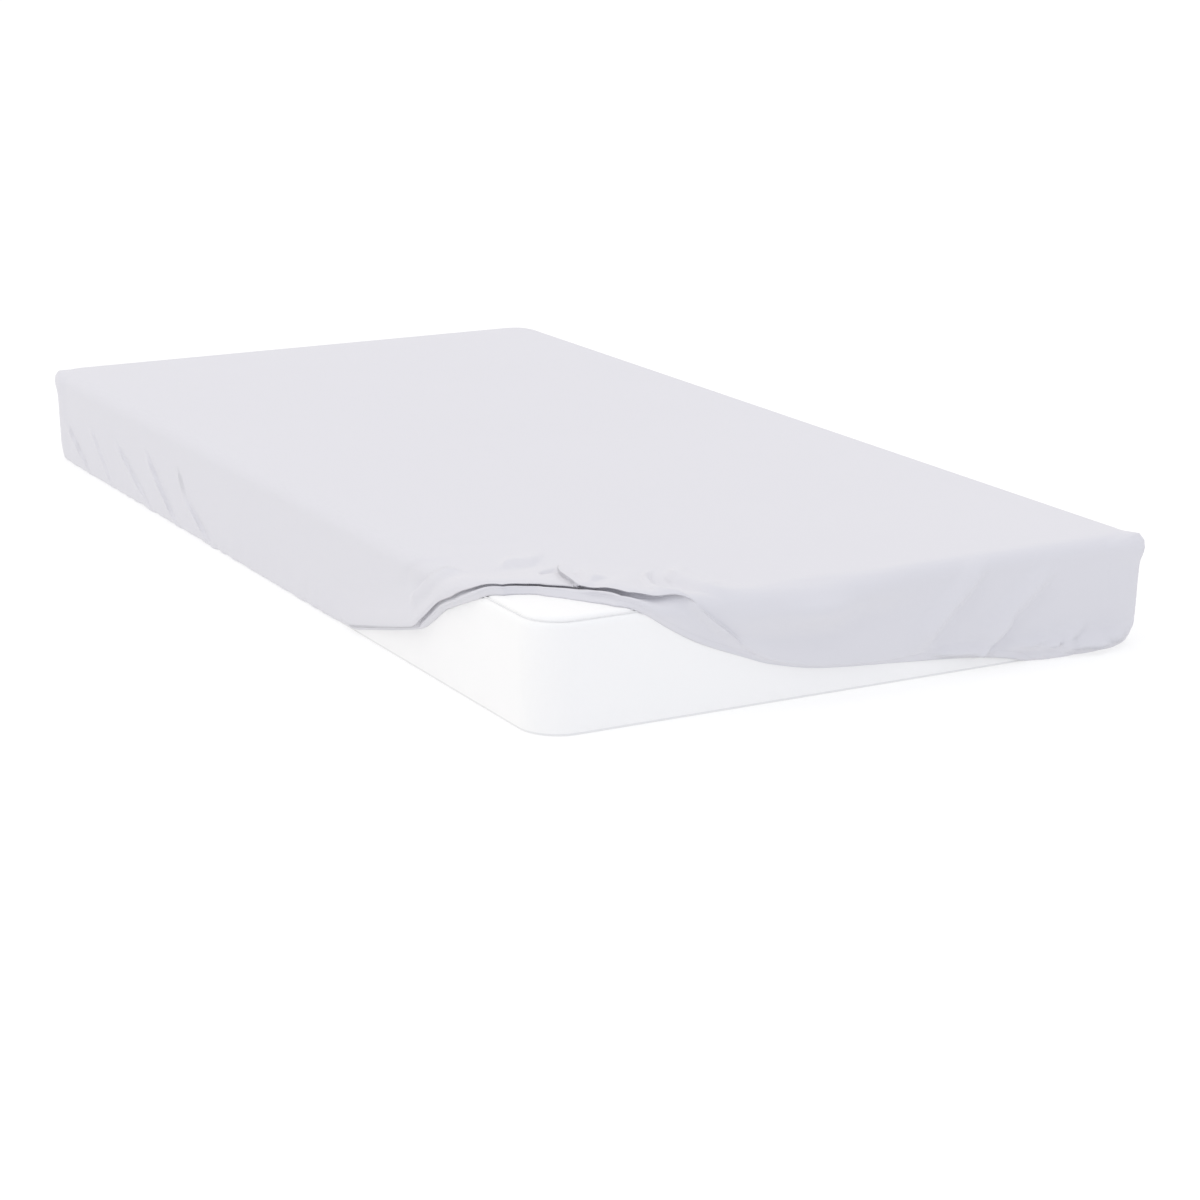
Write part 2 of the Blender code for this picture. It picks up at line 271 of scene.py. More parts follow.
def skin(points: Array, maps: dict[str, Array] | None = None) -> bmesh.types.BMesh:
    """A skin drawn through sections that go once around.

    Args:
        points: Positions, as columns by rows by three.
        maps: UV maps by name, each as columns by rows by two.

    Returns:
        A bmesh whose last column is welded to its first.
    """
    columns, rows = points.shape[0], points.shape[1] - 1
    bm = bmesh.new()
    bmesh.ops.create_grid(bm, x_segments=columns, y_segments=rows, size=0.5)
    layers = [(bm.loops.layers.uv.new(name), flat) for name, flat in (maps or {}).items()]
    for vert in bm.verts:
        column = round((vert.co.x + 0.5) * columns) % columns
        row = round((0.5 - vert.co.y) * rows)
        vert.co = points[column, row]
        for layer, flat in layers:
            for loop in vert.link_loops:
                loop[layer].uv = flat[column, row]
    bmesh.ops.remove_doubles(bm, verts=bm.verts, dist=WELD)
    return bm


def fill_rim(bm: bmesh.types.BMesh, level: float) -> None:
    """Close the open loop that lies flat at a level with one face.

    Args:
        bm: The mesh.
        level: The loop's height.
    """
    loop = [
        edge
        for edge in bm.edges
        if edge.is_boundary and all(abs(v.co.z - level) < WELD for v in edge.verts)
    ]
    bmesh.ops.contextual_create(bm, geom=loop)


def shown(name: str, bm: bmesh.types.BMesh) -> bpy.types.Object:
    """Show a mesh in the scene.

    Args:
        name: The object's name.
        bm: The mesh, which is freed.

    Returns:
        The object, linked to the scene.
    """
    mesh = bpy.data.meshes.new(name)
    bm.to_mesh(mesh)
    bm.free()
    made = bpy.data.objects.new(name, mesh)
    bpy.context.scene.collection.objects.link(made)
    return made


def finished(
    name: str, bm: bmesh.types.BMesh, material: bpy.types.Material
) -> bpy.types.Object:
    """A smooth object of a bmesh, riding on the object's one body.

    Args:
        name: The piece's name.
        bm: The piece's mesh, which is freed.
        material: The finish that the piece is shown in.

    Returns:
        The object, linked to the scene.
    """
    made = shown(name, bm)
    made.data.shade_smooth()
    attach(made, "root")
    made.data.materials.append(material)
    return made


# --- Shader maths ---


class Signal:
    """A node's output, on which arithmetic adds Math nodes."""

    def __init__(self, graph: Graph, socket: bpy.types.NodeSocket) -> None:
        """Keep the socket and the graph that new nodes go to."""
        self.graph = graph
        self.socket = socket

    def math(self, operation: str, *others: Any) -> Signal:
        """This signal put through a Math node with the others."""
        inputs = dict(enumerate((self, *others)))
        return self.graph.signal(self.graph.add("ShaderNodeMath", inputs, operation=operation))

    def __add__(self, other: Any) -> Signal:
        """The sum."""
        return self.math("ADD", other)

    __radd__ = __add__

    def __sub__(self, other: Any) -> Signal:
        """The difference."""
        return self.math("SUBTRACT", other)

    def __rsub__(self, other: float) -> Signal:
        """A number less this signal."""
        return self.math("MULTIPLY", -1.0) + other

    def __mul__(self, other: Any) -> Signal:
        """The product."""
        return self.math("MULTIPLY", other)

    __rmul__ = __mul__

    def sine(self) -> Signal:
        """Its sine."""
        return self.math("SINE")

    def size(self) -> Signal:
        """Its size without its sign."""
        return self.math("ABSOLUTE")

    def clipped(self) -> Signal:
        """Kept between 0 and 1."""
        return self.math("MAXIMUM", 0.0).math("MINIMUM", 1.0)


class Graph:
    """The node graph of a material or of the sky."""

    def __init__(
        self, owner: bpy.types.Material | bpy.types.World, shader: str = "Principled BSDF"
    ) -> None:
        """Keep the owner of the graph and the shader among its nodes.

        Args:
            owner: A new material or sky.
            shader: The name of its shader's node.
        """
        owner.use_nodes = True
        self.owner = owner
        self.tree = owner.node_tree
        self.shader = self.tree.nodes[shader]

    def add(
        self, kind: str, inputs: dict[Any, Any] | None = None, **settings: Any
    ) -> bpy.types.Node:
        """Add a node.

        Args:
            kind: The node's type.
            inputs: Values or signals for its sockets, by name or number.
            **settings: Its own settings, set before its sockets.

        Returns:
            The new node.
        """
        node = self.tree.nodes.new(kind)
        for name, value in settings.items():
            setattr(node, name, value)
        self.feed(node, inputs or {})
        return node

    def feed(self, node: bpy.types.Node, inputs: dict[Any, Any]) -> None:
        """Give a node's sockets their values, or link signals to them.

        Args:
            node: The node.
            inputs: Values or signals, by the sockets' names or numbers.
        """
        for key, value in inputs.items():
            if isinstance(value, Signal):
                self.tree.links.new(value.socket, node.inputs[key])
            else:
                node.inputs[key].default_value = value

    def dressed(self, inputs: dict[str, Any]) -> bpy.types.Material | bpy.types.World:
        """The owner, once its shader's sockets have their values and signals."""
        self.feed(self.shader, inputs)
        return self.owner

    def signal(self, node: bpy.types.Node, output: str | int = 0) -> Signal:
        """One of a node's outputs as a signal."""
        return Signal(self, node.outputs[output])

    def split(self, vector: Signal) -> tuple[Signal, Signal]:
        """A vector's first two directions."""
        node = self.add("ShaderNodeSeparateXYZ", {0: vector})
        return self.signal(node, 0), self.signal(node, 1)

    def cloth_map(self, name: str = "Cloth") -> Signal:
        """One of the piece's own UV maps."""
        return self.signal(self.add("ShaderNodeUVMap", uv_map=name))

    def place(self, kind: str = "Object") -> Signal:
        """Coordinates of one kind."""
        return self.signal(self.add("ShaderNodeTexCoord"), kind)

    def stretched(self, vector: Signal, across: float, along: float) -> Signal:
        """A vector with its first two directions scaled."""
        inputs = {0: vector, 1: (across, along, 1.0)}
        return self.signal(self.add("ShaderNodeVectorMath", inputs, operation="MULTIPLY"))

    def noise(self, vector: Signal, scale: float = 1.0, detail: float = 2.0) -> Signal:
        """Soft noise from 0 to 1."""
        inputs = {"Vector": vector, "Scale": scale, "Detail": detail}
        return self.signal(self.add("ShaderNodeTexNoise", inputs))

    def mix(self, share: Signal, low: Signal | Colour, high: Signal | Colour) -> Signal:
        """Mix two colours.

        Args:
            share: The second colour's share, from 0 to 1.
            low: The first colour.
            high: The second colour.

        Returns:
            The mixed colour.
        """
        ends = [end if isinstance(end, Signal) else (*end, 1.0) for end in (low, high)]
        inputs = {"Factor": share, 6: ends[0], 7: ends[1]}
        return self.signal(self.add("ShaderNodeMix", inputs, data_type="RGBA"), 2)

    def bumped(self, height: Signal, distance: float) -> Signal:
        """The normal of a surface raised by a height from 0 to 1 times a distance."""
        return self.signal(self.add("ShaderNodeBump", {"Distance": distance, "Height": height}))


@dataclass(frozen=True)
class CottonFinish:
    """Plain pale lilac-grey cotton, woven in uneven yarns, with a stitched hem.

    Patches are how many light and dark patches a metre holds. Depths are shares of the
    relief, and the stitches are a wave along the hem that is cut off above 1.
    """

    light: Colour = (0.716, 0.709, 0.744)
    dark: Colour = (0.688, 0.681, 0.716)
    seam: Colour = (0.600, 0.594, 0.630)
    seam_share: float = 0.45
    thread: float = 0.0006
    patches_across_yarn: float = 1300.0
    patches_along_yarn: float = 22.0
    patches: float = 3.0
    yarn_share: float = 0.7
    relief: float = 0.00008
    weave_depth: float = 0.3
    yarn_depth: float = 0.4
    stitch_depth: float = 2.0
    roughness: float = 0.86
    roughness_range: float = 0.12
    sheen: float = 0.10
    sheen_roughness: float = 0.5
    hem_width: float = 0.0095
    stitch: float = 0.0030
    stitch_width: float = 0.0005
    stitch_wave: float = 3.0
    stitch_level: float = 2.0

    def stitching(self, graph: Graph) -> Signal:
        """Draw the row of stitches that holds the hem's casing.

        Args:
            graph: The material's graph.

        Returns:
            1 on the stitches and 0 elsewhere.
        """
        along, across = graph.split(graph.cloth_map("Hem"))
        row = (1.0 - (across - self.hem_width).size() * (1 / self.stitch_width)).clipped()
        wave = (along * (2 * math.pi / self.stitch)).sine() * self.stitch_wave
        return row * (wave + self.stitch_level).clipped()

    def material(self) -> bpy.types.Material:
        """Make the finish on the cloth's own UV maps.

        Returns:
            The material.
        """
        graph = Graph(bpy.data.materials.new("sheet_cotton_weave"))
        uv = graph.cloth_map()
        along, across = graph.split(uv)
        pitch = math.pi / self.thread
        weave = (along * pitch).sine() * (across * pitch).sine()
        fine, coarse = self.patches_across_yarn, self.patches_along_yarn
        warp = graph.noise(graph.stretched(uv, fine, coarse))
        weft = graph.noise(graph.stretched(uv, coarse, fine))
        yarns = (warp + weft) * 0.5
        shade = yarns * self.yarn_share + graph.noise(uv, self.patches) * (1 - self.yarn_share)
        cloth = graph.mix(shade, self.dark, self.light)
        stitches = self.stitching(graph)
        relief = weave * self.weave_depth + yarns * self.yarn_depth - stitches * self.stitch_depth
        least = self.roughness - self.roughness_range / 2
        inputs = {
            "Base Color": graph.mix(stitches * self.seam_share, cloth, self.seam),
            "Roughness": yarns * self.roughness_range + least,
            "Normal": graph.bumped(relief, self.relief),
            "Sheen Weight": self.sheen,
            "Sheen Roughness": self.sheen_roughness,
            "Specular IOR Level": CLOTH_SPECULAR,
        }
        return graph.dressed(inputs)


@dataclass(frozen=True)
class CoverFinish:
    """The mattress's white knitted cover.

    slubs and patches are how many thick spots and light and dark patches a metre holds,
    and depths are shares of the relief.
    """

    light: Colour = (0.935, 0.930, 0.925)
    dark: Colour = (0.912, 0.907, 0.902)
    stitch: float = 0.0016
    stitch_ratio: float = 1.6
    slubs: float = 260.0
    patches: float = 4.0
    relief: float = 0.00010
    knit_depth: float = 0.7
    slub_depth: float = 0.3
    least_roughness: float = 0.82
    roughness_range: float = 0.1
    sheen: float = 0.08

    def material(self) -> bpy.types.Material:
        """Make the finish on the cover's own UV map.

        Returns:
            The material.
        """
        graph = Graph(bpy.data.materials.new("mattress_cover_knit"))
        uv = graph.cloth_map()
        along, across = graph.split(uv)
        pitch = math.pi / self.stitch
        knit = (along * pitch).sine().size() * (across * (pitch * self.stitch_ratio)).sine().size()
        slub = graph.noise(uv, self.slubs)
        shade = slub * 0.5 + graph.noise(uv, self.patches) * 0.5
        relief = knit * self.knit_depth + slub * self.slub_depth
        inputs = {
            "Base Color": graph.mix(shade, self.dark, self.light),
            "Roughness": slub * self.roughness_range + self.least_roughness,
            "Normal": graph.bumped(relief, self.relief),
            "Sheen Weight": self.sheen,
            "Specular IOR Level": CLOTH_SPECULAR,
        }
        return graph.dressed(inputs)


@dataclass(frozen=True)
class PipingFinish:
    """The white cord in the mattress's seams, with a fine twist."""

    light: Colour = (0.84, 0.84, 0.84)
    dark_share: float = 0.94
    twist: float = 900.0
    relief: float = 0.0001
    least_roughness: float = 0.75
    roughness_range: float = 0.1

    def material(self) -> bpy.types.Material:
        """Make the finish on object coordinates.

        Returns:
            The material.
        """
        graph = Graph(bpy.data.materials.new("piping_cord"))
        strands = graph.noise(graph.place(), self.twist)
        dark = tuple(channel * self.dark_share for channel in self.light)
        inputs = {
            "Base Color": graph.mix(strands, dark, self.light),
            "Roughness": strands * self.roughness_range + self.least_roughness,
            "Normal": graph.bumped(strands, self.relief),
            "Specular IOR Level": CLOTH_SPECULAR,
        }
        return graph.dressed(inputs)


# --- The mattress ---


@dataclass
class Mattress:
    """The mattress: a crowned top, soft rounded edges and a piped seam at both."""

    outline: Outline
    base: float
    top: float
    top_edge_radius: float = 0.018
    bottom_edge_radius: float = 0.003
    crown: float = 0.006
    crown_reach: float = 0.300
    bulge: float = 0.0005
    groove: float = 0.0016
    groove_reach: float = 0.006
    top_piping: float = 0.0013
    bottom_piping: float = 0.0026
    piping_sides: int = 8
    piping_sink: float = 0.6
    crown_rings: int = 8
    arc_steps: int = 14
    side_rings: int = 14
    corner_step: float = 0.004
    side_step: float = 0.030

    def crown_share(self, inset: Array) -> Array:
        """How much of the crown's fall is left at an inset: 0 in the flat middle."""
        return np.maximum(0.0, 1 - inset / self.crown_reach) ** 2

    def top_height(self, inset: Array) -> Array:
        """Height of the crowned top at an inset."""
        return self.top - self.crown * self.crown_share(inset)

    @property
    def shoulder(self) -> float:
        """Height at which the top starts to round over."""
        return float(self.top_height(np.array(self.top_edge_radius)))

    @property
    def side_top(self) -> float:
        """Height at which the side starts below the rounded edge."""
        return self.shoulder - self.top_edge_radius

    def edge_arcs(self) -> tuple[Array, Array]:
        """Round the top and bottom edges.

        Returns:
            Insets and heights along the top edge and along the bottom one, as pairs.
        """
        turn = np.linspace(0.0, QUARTER, self.arc_steps + 1)
        upper, lower = self.top_edge_radius, self.bottom_edge_radius
        top = upper * (1 - np.sin(turn)), self.side_top + upper * np.cos(turn)
        bottom = lower * (1 - np.cos(turn)), self.base + lower * (1 - np.sin(turn))
        return np.stack(top, axis=-1), np.stack(bottom, axis=-1)

    def section(self) -> Array:
        """Draw the section, grooved at the upper seam.

        Returns:
            Insets and heights from the middle of the top to the underside, as pairs.
        """
        insets = np.linspace(self.crown_reach, self.top_edge_radius, self.crown_rings + 1)[:-1]
        crown = np.stack((insets, self.top_height(insets)), axis=-1)
        top_arc, bottom_arc = self.edge_arcs()
        heights = np.linspace(top_arc[-1, 1], bottom_arc[0, 1], self.side_rings + 1)[1:-1]
        middle = (heights[0] + heights[-1]) / 2
        bulge = self.bulge * bump(heights - middle, heights[0] - middle)
        side = np.stack((-bulge, heights), axis=-1)
        away = np.linalg.norm(top_arc - top_arc[self.arc_steps // 2], axis=1)
        dent = self.groove * bump(away, self.groove_reach)[:, None]
        top_arc += dent * np.array((1, -1)) / math.sqrt(2)
        return np.concatenate((crown, top_arc, side, bottom_arc))

    def columns(self) -> Array:
        """Space the mattress's columns, closely round the corners.

        Returns:
            Their stations, one a row.
        """
        outline = self.outline
        start = end = -outline.corner_arc / 2
        stretches = []
        for side in (outline.short_side, outline.long_side) * 2:
            for length, step in ((outline.corner_arc, self.corner_step), (side, self.side_step)):
                end += length
                stretches.append(Stretch(end, step))
        return columns_of(start, stretches)[:, None]

    def build_body(self) -> bpy.types.Object:
        """Build the covered core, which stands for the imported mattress.

        Returns:
            The piece.
        """
        section, stations = self.section(), self.columns()
        lengths = np.linalg.norm(np.diff(section, axis=0), axis=1)
        walked = np.concatenate(([0.0], np.cumsum(lengths)))
        flat = self.outline.place(stations, self.crown_reach - walked)
        bm = skin(self.outline.points(stations, *section.T), {"Cloth": flat})
        for level in (self.top, self.base):
            fill_rim(bm, level)
        bmesh.ops.recalc_face_normals(bm, faces=bm.faces)
        made = finished("mattress_core_and_cover", bm, CoverFinish().material())
        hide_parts(Piece.MATTRESS.value)
        return made

    def build_piping(self) -> bpy.types.Object:
        """Build the cords in both seams: the upper one sunk in, the lower one on the floor.

        Returns:
            Both cords as one piece.
        """
        stations = self.columns()
        turn = np.linspace(0.0, 2 * math.pi, self.piping_sides + 1)
        inset, height = self.edge_arcs()[0][self.arc_steps // 2]
        sunk = self.groove * self.piping_sink / math.sqrt(2)
        low = self.bottom_piping
        whole = bmesh.new()
        for middle, level, radius in (
            (inset + sunk, height - sunk, self.top_piping),
            (low, low + WELD, low),
        ):
            ring = middle + radius * np.cos(turn), level + radius * np.sin(turn)
            cord = skin(self.outline.points(stations, *ring))
            bmesh.ops.recalc_face_normals(cord, faces=cord.faces)
            mesh = bpy.data.meshes.new("cord")
            cord.to_mesh(mesh)
            cord.free()
            whole.from_mesh(mesh)
            bpy.data.meshes.remove(mesh)
        return finished("mattress_piping", whole, PipingFinish().material())

    def build(self) -> list[bpy.types.Object]:
        """Both pieces of the mattress."""
        return [self.build_body(), self.build_piping()]


# --- The sheet ---


class HemRow(NamedTuple):
    """How far down the hem lies at a station."""

    station: float
    drop: float


class SlantRow(NamedTuple):
    """How far the columns that start at a station drift along it, for each metre down."""

    station: float
    slant: float


class RollRow(NamedTuple):
    """How the cloth rolls over behind the hem at a station.

    band is the hem's width below the lip, overhang how far the lip hangs over it, crest
    the roll's height, swell how far back it reaches, casing how high the hem's casing
    stands up under the lip, notch how deep its seam is drawn in, and gap how far the hem
    stands off the mattress. blend is 1 where the section follows the roll and 0 where it
    follows the mattress.
    """

    station: float
    band: float
    overhang: float
    crest: float
    swell: float
    casing: float = 0.0
    notch: float = 0.0
    gap: float = 0.0
    blend: float = 1.0


class RiseRow(NamedTuple):
    """The share of the crest reached at a share of the swell behind the lip."""

    back: float
    rise: float


class RollPoint(NamedTuple):
    """A point of the roll from its lip (0) to the hem (1).

    under is the share of the overhang by which it is drawn back, rise its share of the
    crest, casing and notch its shares of the casing's height and of its seam, and foot
    how much of the hem's own gap and press it takes.
    """

    place: float
    under: float
    rise: float
    casing: float = 0.0
    notch: float = 0.0
    foot: float = 0.0


class EarPoint(NamedTuple):
    """How far a sewn corner stands out at a drop."""

    drop: float
    reach: float


class Tuck(NamedTuple):
    """A fold that runs from one station and drop to another.

    Its dark line is where the cloth tucks under. crest and ridge are how far behind that
    line the fold is highest and ends, hollow how far the hollow in front of it reaches,
    height the fold's height, lean how far its crest leans over the line, and bow how
    far the line's middle bends towards the hollow.
    """

    station: float
    drop: float
    to_station: float
    to_drop: float
    crest: float
    ridge: float
    hollow: float
    height: float
    lean: float = 0.0
    bow: float = 0.0


class Swell(NamedTuple):
    """A soft ridge, or a soft hollow where its height is negative, between two points."""

    station: float
    drop: float
    to_station: float
    to_drop: float
    width: float
    height: float


class Fan(NamedTuple):
    """One of the soft folds that fan out from a covered corner along a hidden side.

    It starts away from the corner at a drop, reaches on to the foot, and has the crest,
    ridge, hollow and height of a tuck.
    """

    away: float
    drop: float
    reach: float
    height: float
    foot: float = 0.195
    crest: float = 0.014
    ridge: float = 0.038
    hollow: float = 0.020


class RingRow(NamedTuple):
    """How many of the top's rings lie a step apart, counted from its middle."""

    count: int
    step: float


TOP_RINGS = (
    RingRow(2, 0.085),
    RingRow(2, 0.045),
    RingRow(3, 0.024),
    RingRow(3, 0.013),
    RingRow(4, 0.0085),
    RingRow(6, 0.0048),
)
# Where the hem lies, from the foot of the long side to the foot of the short end.
HEM = (
    HemRow(-0.600, 0.178),
    HemRow(-0.540, 0.164),
    HemRow(-0.460, 0.1445),
    HemRow(-0.400, 0.129),
    HemRow(-0.345, 0.113),
    HemRow(-0.309, 0.093),
    HemRow(-0.269, 0.068),
    HemRow(-0.226, 0.050),
    HemRow(-0.176, 0.030),
    HemRow(-0.145, 0.0095),
    HemRow(-0.125, -0.0085),
    HemRow(-0.097, -0.0258),
    HemRow(-0.054, -0.0455),
    HemRow(-0.008, -0.053),
    HemRow(0.028, -0.046),
    HemRow(0.062, -0.032),
    HemRow(0.103, -0.011),
    HemRow(0.141, 0.0195),
    HemRow(0.180, 0.048),
    HemRow(0.230, 0.077),
    HemRow(0.300, 0.106),
    HemRow(0.348, 0.124),
    HemRow(0.430, 0.141),
    HemRow(0.565, 0.152),
    HemRow(0.669, 0.160),
    HemRow(0.757, 0.173),
)
# The columns' slant between the corners, where they follow the folds.
SLANTS = (
    SlantRow(-1.870, 1.4),
    SlantRow(-1.700, 1.9),
    SlantRow(-1.560, 1.5),
    SlantRow(-1.450, 2.0),
    SlantRow(-1.150, 1.6),
    SlantRow(-0.680, 0.0),
    SlantRow(0.340, 0.0),
    SlantRow(0.620, -1.1),
)
RISE = (
    RiseRow(0.00, 0.86),
    RiseRow(0.10, 1.00),
    RiseRow(0.28, 0.86),
    RiseRow(0.55, 0.38),
    RiseRow(1.00, 0.00),
)
ROLL_SECTION = (
    RollPoint(0.00, 0.00, 0.86),
    RollPoint(0.08, 0.50, 0.81),
    RollPoint(0.16, 0.95, 0.74),
    RollPoint(0.23, 1.00, 0.50, 0.05),
    RollPoint(0.31, 0.72, 0.12, 0.22),
    RollPoint(0.38, 0.24, 0.02, 0.74, 0.0, 0.1),
    RollPoint(0.46, 0.12, 0.00, 0.98, 0.0, 0.2),
    RollPoint(0.54, 0.02, 0.00, 1.00, 0.0, 0.3),
    RollPoint(0.64, 0.00, 0.00, 0.90, 0.3, 0.5),
    RollPoint(0.74, 0.00, 0.00, 0.66, 1.0, 0.7),
    RollPoint(0.85, 0.00, 0.00, 0.42, 0.1, 0.9),
    RollPoint(1.00, 0.00, 0.00, 0.00, 0.0, 1.0),
)
ROLLS = (
    RollRow(-0.700, 0.004, 0.000, 0.0010, 0.060, blend=0.0),
    RollRow(-0.590, 0.004, 0.001, 0.0025, 0.060),
    RollRow(-0.500, 0.004, 0.002, 0.0055, 0.062),
    RollRow(-0.410, 0.004, 0.004, 0.0095, 0.065),
    RollRow(-0.355, 0.004, 0.007, 0.0115, 0.060, 0.002),
    RollRow(-0.330, 0.009, 0.010, 0.0122, 0.060, 0.007),
    RollRow(-0.300, 0.011, 0.012, 0.0124, 0.058, 0.0075),
    RollRow(-0.250, 0.013, 0.013, 0.0126, 0.058, 0.009, 0.002, 0.001),
    RollRow(-0.205, 0.013, 0.013, 0.0130, 0.065, 0.0095, 0.001),
    RollRow(-0.160, 0.009, 0.013, 0.0128, 0.080, 0.0095),
    RollRow(-0.130, 0.006, 0.012, 0.0115, 0.090, 0.0085),
    RollRow(-0.080, 0.005, 0.012, 0.0106, 0.100, 0.0075),
    RollRow(-0.030, 0.008, 0.012, 0.0108, 0.108, 0.0085),
    RollRow(0.008, 0.011, 0.013, 0.0126, 0.110, 0.0095),
    RollRow(0.034, 0.011, 0.014, 0.0130, 0.110, 0.011, 0.001),
    RollRow(0.060, 0.011, 0.014, 0.0150, 0.110, 0.0118, 0.003),
    RollRow(0.090, 0.011, 0.015, 0.0178, 0.105, 0.0125, 0.003),
    RollRow(0.130, 0.016, 0.016, 0.0168, 0.098, 0.0105, 0.003),
    RollRow(0.160, 0.026, 0.018, 0.0140, 0.085, 0.007, 0.001),
    RollRow(0.200, 0.048, 0.016, 0.0085, 0.070, 0.003),
    RollRow(0.225, 0.049, 0.006, 0.0055, 0.070, 0.001),
    RollRow(0.255, 0.040, 0.002, 0.0065, 0.080),
    RollRow(0.300, 0.020, 0.000, 0.0075, 0.110),
    RollRow(0.340, 0.009, 0.000, 0.0070, 0.120),
    RollRow(0.420, 0.005, 0.000, 0.0070, 0.125),
    RollRow(0.520, 0.005, 0.000, 0.0052, 0.120),
    RollRow(0.680, 0.005, 0.000, 0.0026, 0.110, blend=0.0),
)
# The folds on the long side by the far corner.
SIDE_TUCKS = (
    Tuck(-1.930, 0.096, -1.745, 0.200, 0.005, 0.026, 0.012, 0.0044, 0.0020),
    Tuck(-1.790, 0.080, -1.655, 0.190, 0.005, 0.022, 0.012, 0.0028, 0.0010, 0.002),
    Tuck(-1.658, 0.080, -1.420, 0.200, 0.005, 0.026, 0.012, 0.0042, 0.0015, 0.002),
    Tuck(-1.496, 0.062, -1.290, 0.200, 0.005, 0.028, 0.012, 0.0048, 0.0020, -0.007),
    Tuck(-1.322, 0.066, -1.268, 0.142, 0.006, 0.020, 0.010, 0.0030, 0.0000, -0.006),
    Tuck(-1.300, 0.116, -1.130, 0.196, 0.006, 0.026, 0.014, 0.0052, 0.0025),
)
# The folds on the short end by its covered corner.
END_TUCKS = (
    Tuck(0.726, 0.028, 0.592, 0.152, 0.018, 0.048, 0.034, 0.0096, 0.0000, 0.002),
    Tuck(0.842, 0.056, 0.700, 0.164, 0.018, 0.046, 0.030, 0.0090),
    Tuck(0.762, 0.112, 0.690, 0.168, 0.006, 0.020, 0.012, 0.0075, 0.0045),
    Tuck(0.894, 0.148, 0.806, 0.168, 0.005, 0.022, 0.010, 0.0058, 0.0030),
    Tuck(0.828, 0.150, 0.778, 0.163, 0.005, 0.016, 0.010, 0.0040, 0.0020),
    Tuck(0.948, 0.160, 0.880, 0.180, 0.005, 0.014, 0.010, 0.0052, 0.0030),
    Tuck(0.978, 0.155, 0.916, 0.172, 0.005, 0.014, 0.010, 0.0046, 0.0030),
    Tuck(0.735, 0.1650, 0.610, 0.1505, 0.006, 0.022, 0.007, 0.0070, 0.0030),
    Tuck(0.882, 0.1720, 0.742, 0.1650, 0.011, 0.028, 0.010, 0.0060),
    Tuck(0.968, 0.1752, 0.838, 0.1752, 0.0066, 0.024, 0.006, 0.0100, 0.0020),
)
# The folds behind the lip of the roll, from the long side to the short end.
LIP_TUCKS = (
    Tuck(-0.385, 0.072, -0.255, -0.012, 0.008, 0.034, 0.032, 0.0098),
    Tuck(-0.108, -0.114, -0.205, -0.050, 0.013, 0.050, 0.022, 0.0060),
    Tuck(0.042, -0.042, -0.070, -0.134, 0.005, 0.030, 0.018, 0.0062, 0.0075, 0.004),
    Tuck(0.034, -0.062, -0.024, -0.120, 0.010, 0.034, 0.014, 0.0068),
    Tuck(0.104, -0.136, 0.207, 0.011, 0.009, 0.022, 0.034, 0.0050),
    Tuck(0.276, 0.034, 0.136, -0.106, 0.019, 0.060, 0.026, 0.0082),
    Tuck(0.184, -0.016, 0.310, 0.094, 0.006, 0.016, 0.022, 0.0060, 0.0020),
)
SWELLS = (
    Swell(-0.412, 0.062, -0.290, -0.012, 0.022, -0.0045),
    Swell(-0.408, -0.036, -0.190, -0.165, 0.030, -0.0018),
    Swell(-0.052, -0.116, -0.086, -0.080, 0.013, -0.0085),
    Swell(0.270, 0.036, 0.490, 0.060, 0.042, 0.0150),
    Swell(0.350, 0.056, 0.600, 0.030, 0.040, 0.0110),
    Swell(0.780, 0.169, 0.958, 0.169, 0.024, 0.0100),
)
FAN = (
    Fan(0.050, 0.100, 0.120, 0.0040),
    Fan(0.160, 0.085, 0.140, 0.0052),
    Fan(0.300, 0.090, 0.150, 0.0045),
    Fan(0.450, 0.110, 0.120, 0.0035),
)


def fan_out(corner: float, towards: int) -> list[Tuck]:
    """The soft folds that fan out from a covered corner along one of its sides.

    Args:
        corner: The corner's station.
        towards: 1 for the side with the higher stations, -1 for the other.

    Returns:
        The folds, drawn so that each tucks under on its lower side.
    """
    folds = []
    for fold in FAN:
        near = corner + towards * fold.away
        ends = (near, fold.drop, near + towards * fold.reach, fold.foot)
        if towards > 0:
            ends = ends[2:] + ends[:2]
        folds.append(Tuck(*ends, fold.crest, fold.ridge, fold.hollow, fold.height))
    return folds


def along_run(walk: Array, flat: float, fade: float) -> Array:
    """1 along the flat middle of a fold's run, and 0 past the fade at either end."""
    return bump(np.maximum(0.0, np.abs(walk - 0.5) - flat), fade)


